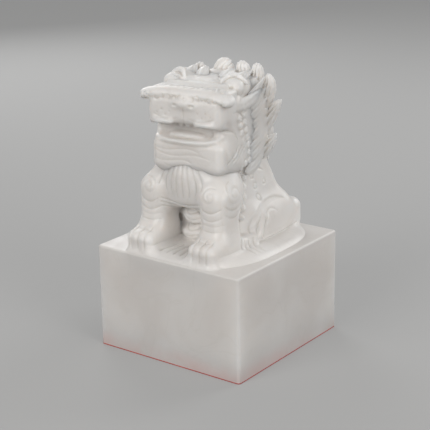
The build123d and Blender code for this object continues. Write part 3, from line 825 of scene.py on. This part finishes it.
def carve_mane():
    clay = Clay((-25.5, -6.5, 60.0), (25.5, 21.0, 100.6), BODY_AND_MANE)
    clay.add(cushion((0, 5.4, 79.8), (13.8, 7.2, 13.6), 6.0), 0.8)
    clay.add(egg((0, 4.5, 90.0), (12.4, 6.0, 6.0)), 2.0)
    clay.add(egg((12.4, 4.0, 79.4), (4.8, 6.6, 15.0)), 1.5, pair=True)
    ruff = (
        # root x, root z, bend x, bend z, tip x, tip z, tip y, width, bluntness
        (-0.8, 86.0, -0.6, 93.6, 0.9, 99.9, 6.0, 9.0, 0.55),
        (5.4, 86.0, 7.0, 93.2, 7.3, 99.5, 6.0, 6.8, 0.62),
        (9.4, 85.0, 12.0, 92.4, 13.0, 99.1, 6.0, 6.0, 0.6),
        (12.4, 82.0, 16.2, 89.6, 17.3, 95.9, 6.0, 6.8, 0.3),
        (13.0, 74.6, 17.2, 81.6, 22.0, 87.6, 6.0, 6.4, 0.12),
        (12.4, 66.4, 15.8, 70.8, 20.0, 75.7, 6.0, 6.2, 0.14),
        (-5.6, 84.0, -5.6, 89.6, -5.0, 94.6, 6.6, 6.0, 0.5),
        (-8.4, 85.0, -9.2, 91.6, -9.2, 97.6, 6.0, 6.8, 0.62),
        (-11.8, 82.0, -14.4, 89.4, -15.4, 95.3, 6.0, 7.0, 0.4),
        (-13.0, 74.6, -17.2, 81.4, -21.4, 87.0, 6.0, 6.4, 0.14),
        (-12.4, 66.4, -15.8, 70.8, -19.6, 75.4, 6.0, 6.2, 0.16),
    )
    for root_x, root_z, bend_x, bend_z, tip_x, tip_z, tip_y, width, blunt in ruff:
        tip = (tip_x, tip_y, tip_z - blunt * width / 2)
        points = [(root_x, 6.6, root_z), (bend_x, 7.0, bend_z), tip]
        clay.add(flame(points, width, (0, 1, 0.1), 1.2, 4, 1.1, blunt), 0.4)
    # tufts of forelock on the crown, behind the eyes
    tufts = ((4.2, -1.0, 93.0, 1.0), (-4.0, -1.0, 93.0, -1.0), (9.0, 0.6, 92.6, 1.6), (-8.8, 0.2, 92.8, -1.6))
    for x, y, z, lean in tufts:
        points = [(x, y - 2.6, z - 1.4), (x + lean * 0.4, y, z + 1.8), (x + lean, y + 4.0, z + 3.2)]
        clay.add(flame(points, 5.2, (0, -0.6, 1), 1.5, 3, 0.5, 0.4), 0.4)
    # flames that sweep up the sides, from behind the cheek curls to the ruff
    for number in range(8):
        z = 64.0 + 3.5 * number
        reach_x = 15.9 + 1.5 * math.sin(math.pi * (number + 0.5) / 8)
        points = [(14.0, -3.0, z), (15.2, 0.2, z + 1.6), (reach_x, 4.6, z + 6.0)]
        clay.add(flame(points, 4.8, (1, -0.3, -0.2), 2.2, 3, 0.6, 0.25), 0.4, pair=True)
    # rows of locks down the back
    rows = ((90.5, 10.0, 4, 10.0), (84.0, 12.2, 5, 11.6), (77.0, 13.2, 4, 11.0), (70.4, 13.0, 5, 11.2))
    for z, y, count, reach_x in rows:
        for number in range(count):
            x = reach_x * (2 * number / (count - 1) - 1)
            swing = 1.2 if number % 2 else -1.2
            tip = (x * 1.05 - swing * 0.6, y + 1.4, z - 6.6)
            points = [(x * 0.92, y - 1.4, z + 1.5), (x + swing, y + 0.8, z - 2.6), tip]
            clay.add(flame(points, 6.6, (0.04 * x, 1, 0.1), 1.5, 3, 0.6, 0.22), 0.4)
            clay.score(1, scroll((x * 0.95, z + 0.6), 2.0, 200, 1.4, 18), 0.45, 0.5, (8, 22))
    nodes = ["mane_back", "mane_crest"]
    nodes += sides("forelock", "mane_side", *(f"mane_lock_{number}" for number in range(1, 6)))
    return carved("lion_mane", clay, CARVED_STONE, nodes, turn_head)


carve_body()
carve_head()
carve_mane()

finishes = {"seal_block": BLOCK_STONE, "face_relief": BLOCK_STONE, "paste_film": SEAL_PASTE}
for node, material in finishes.items():
    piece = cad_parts[node]
    for index in range(len(piece.data.materials)):
        piece.material_slots[index].material = material


# Floor, light and camera

FLOOR_COLOUR = (0.3, 0.3, 0.298)
UNSEEN_FLOOR = (0.03, 0.03, 0.03)
FLOOR_HALF = 3.0
FLOOR_GAP = 0.0001
AIM = (0, 0, 0.05)


def seen_rays(tree):
    """1 for the rays that show the floor or the backdrop, and 0 for those that light the stone."""
    path = tree.nodes.new("ShaderNodeLightPath").outputs
    seen = math_node(tree, "MAXIMUM", path["Is Camera Ray"], path["Is Glossy Ray"])
    return math_node(tree, "MAXIMUM", seen, path["Is Transmission Ray"])


def stage_surface():
    mesh = bpy.data.meshes.new("floor")
    floor_z = cad_box[0][2] - FLOOR_GAP
    corners = [(x * FLOOR_HALF, y * FLOOR_HALF, floor_z) for x, y in ((-1, -1), (1, -1), (1, 1), (-1, 1))]
    mesh.from_pydata(corners, [], [(0, 1, 2, 3)])
    floor = bpy.data.objects.new("floor", mesh)
    bpy.context.scene.collection.objects.link(floor)
    material, tree, shader = new_material("floor_pale")
    seen = seen_rays(tree)
    tree.links.new(mixed(tree, seen, UNSEEN_FLOOR, FLOOR_COLOUR), shader.inputs["Base Color"])
    shader.inputs["Roughness"].default_value = 0.9
    shader.inputs["Specular IOR Level"].default_value = 0.1
    shader.inputs["Emission Color"].default_value = (*FLOOR_COLOUR, 1)
    tree.links.new(math_node(tree, "MULTIPLY", seen, 0.55), shader.inputs["Emission Strength"])
    mesh.materials.append(material)


def direction(azimuth, elevation):
    """The direction from the object to an azimuth and elevation in radians."""
    level = math.cos(elevation)
    return Vector((math.sin(azimuth) * level, -math.cos(azimuth) * level, math.sin(elevation)))


def lamp(name, azimuth, elevation, distance, size, watts, colour=(1, 1, 1)):
    light = bpy.data.lights.new(name, "AREA")
    light.shape = "DISK"
    light.size = size
    light.energy = watts
    light.color = colour
    back = direction(math.radians(azimuth), math.radians(elevation))
    piece = bpy.data.objects.new(name, light)
    piece.location = Vector(AIM) + back * distance
    piece.rotation_euler = (-back).to_track_quat("-Z", "Y").to_euler()
    bpy.context.scene.collection.objects.link(piece)


def light_the_scene():
    lamp("key_soft", -8, 24, 0.7, 0.45, 2.25, (1.0, 0.985, 0.965))
    lamp("fill_soft", 78, 18, 0.8, 0.5, 2.4, (1.0, 0.99, 0.975))
    lamp("rim_left", -125, 24, 0.6, 0.35, 0.9)
    lamp("rim_right", 160, 26, 0.6, 0.35, 0.9)
    world = bpy.data.worlds.new("studio")
    world.use_nodes = True
    tree = world.node_tree
    background = tree.nodes["Background"]
    background.inputs["Color"].default_value = (0.88, 0.88, 0.88, 1)
    less_where_seen = math_node(tree, "MULTIPLY", seen_rays(tree), 0.06)
    tree.links.new(math_node(tree, "SUBTRACT", 0.35, less_where_seen), background.inputs["Strength"])
    bpy.context.scene.world = world


def camera():
    """The photograph's viewing angle, found from the block's corners."""
    azimuth, elevation, roll = (math.radians(a) for a in (36.894, 18.104, -0.938))
    distance, shift_right, aim_height = 0.450104, -0.001107, 0.045188
    back = direction(azimuth, elevation)
    right = Vector((math.cos(azimuth), math.sin(azimuth), 0))
    up = back.cross(right)
    tilted_right = right * math.cos(roll) + up * math.sin(roll)
    tilted_up = back.cross(tilted_right)
    data = bpy.data.cameras.new("camera")
    data.lens = 108
    data.sensor_width = 36
    data.clip_start = 0.01
    data.clip_end = 20
    view = bpy.data.objects.new("camera", data)
    matrix = view.matrix_world.copy()
    place = right * shift_right + Vector((0, 0, aim_height)) + back * distance
    for column, axis in enumerate((tilted_right, tilted_up, back, place)):
        for row in range(3):
            matrix[row][column] = axis[row]
    view.matrix_world = matrix
    bpy.context.scene.collection.objects.link(view)
    bpy.context.scene.camera = view


stage_surface()
light_the_scene()
camera()
bpy.context.scene.view_settings.view_transform = "Standard"
